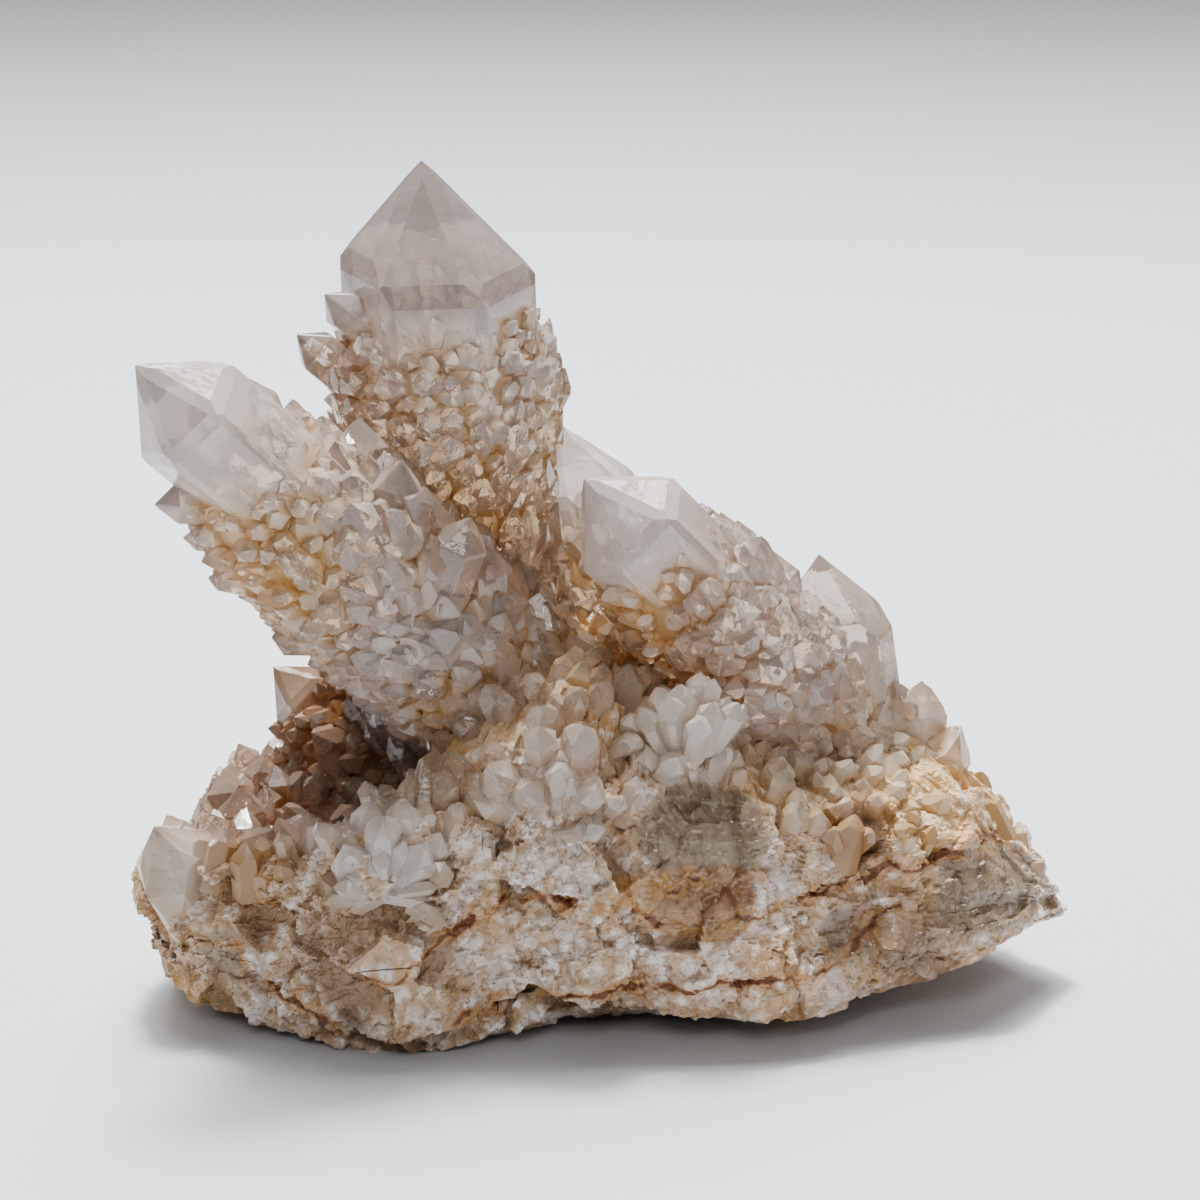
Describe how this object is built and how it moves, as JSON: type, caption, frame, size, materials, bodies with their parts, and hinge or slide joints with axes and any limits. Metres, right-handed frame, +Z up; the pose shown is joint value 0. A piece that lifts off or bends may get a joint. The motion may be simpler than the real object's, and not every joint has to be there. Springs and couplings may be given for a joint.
{
  "type": "cactus quartz cluster",
  "caption": "Natural cluster of cactus quartz: large clear points sheathed in small druse crystals, grown from a broken block of vein quartz that rests on a small flat spot.",
  "frame": {"origin": "on the surface the cluster rests on, under the middle of its bounding box", "axes": "+X to the viewer's right along the longest side, +Y away from the viewer, +Z up"},
  "size_m": [0.096, 0.054, 0.0845],
  "materials": {
    "clear_quartz": "milky clear quartz, glossy flat faces, pale grey-lilac with cream and rust stain between the small points",
    "stained_quartz": "small quartz points stained brown by iron, glossy",
    "vein_rock": "broken milky vein quartz, granular, with brown iron veins, white sugary patches and smoky windows"
  },
  "bodies": {
    "root": {"rock": "vein_rock", "tall_point": "clear_quartz", "left_point": "clear_quartz", "right_point": "clear_quartz", "back_point": "clear_quartz", "shaded_point": "stained_quartz", "corner_crystal": "clear_quartz"}
  },
  "joints": []
}
